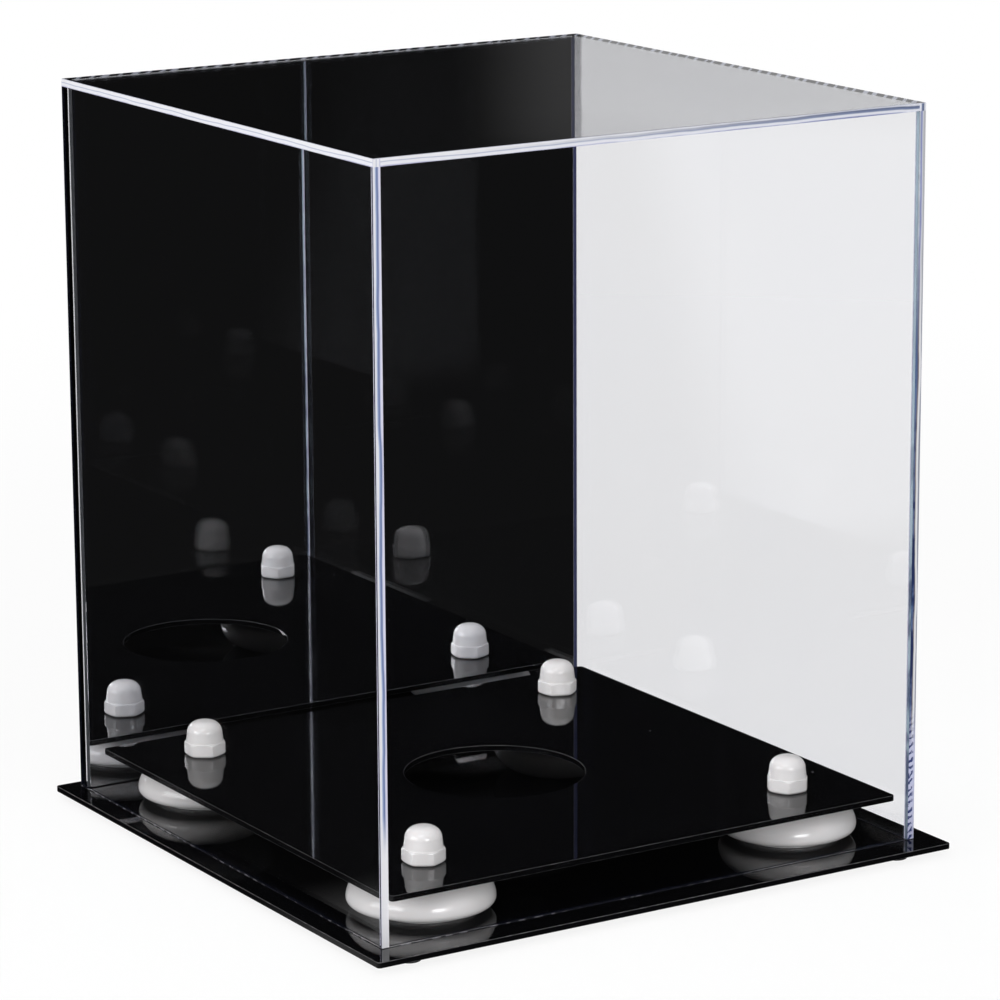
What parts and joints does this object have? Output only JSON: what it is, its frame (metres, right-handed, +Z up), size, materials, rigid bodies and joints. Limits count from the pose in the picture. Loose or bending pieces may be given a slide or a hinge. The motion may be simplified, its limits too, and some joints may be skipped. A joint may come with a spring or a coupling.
{
  "type": "football display case",
  "caption": "Clear box cover with a mirror inside its back, which lifts off a black base plate with a raised platform and a round seat for an upright ball.",
  "frame": {"origin": "on the surface that the feet stand on, under the middle of the base plate", "axes": "+X to the viewer's right along the front, +Y from the front to the mirrored back, +Z up"},
  "size_m": [0.2726, 0.2726, 0.3106],
  "materials": {
    "clear_acrylic": "polished",
    "mirror_face": "polished",
    "black_acrylic": "polished",
    "white_plastic": "gloss",
    "foot_rubber": "matte"
  },
  "bodies": {
    "stand": {"base_plate": "black_acrylic", "platform_plate": "black_acrylic", "foot_front_left": "foot_rubber", "foot_front_right": "foot_rubber", "foot_rear_left": "foot_rubber", "foot_rear_right": "foot_rubber", "riser_front_left": "white_plastic", "riser_front_right": "white_plastic", "riser_rear_left": "white_plastic", "riser_rear_right": "white_plastic", "bolt_front_left": "white_plastic", "bolt_front_right": "white_plastic", "bolt_rear_left": "white_plastic", "bolt_rear_right": "white_plastic", "cap_nut_front_left": "white_plastic", "cap_nut_front_right": "white_plastic", "cap_nut_rear_left": "white_plastic", "cap_nut_rear_right": "white_plastic"},
    "cover": {"cover_front_panel": "clear_acrylic", "cover_left_panel": "clear_acrylic", "cover_right_panel": "clear_acrylic", "cover_back_panel": "clear_acrylic", "cover_top_panel": "clear_acrylic", "mirror_sheet": "mirror_face"}
  },
  "joints": [
    {"name": "cover_lift", "type": "slide", "parent": "stand", "child": "cover", "axis": [0, 0, 1], "range_m": [0, 0.32]}
  ]
}
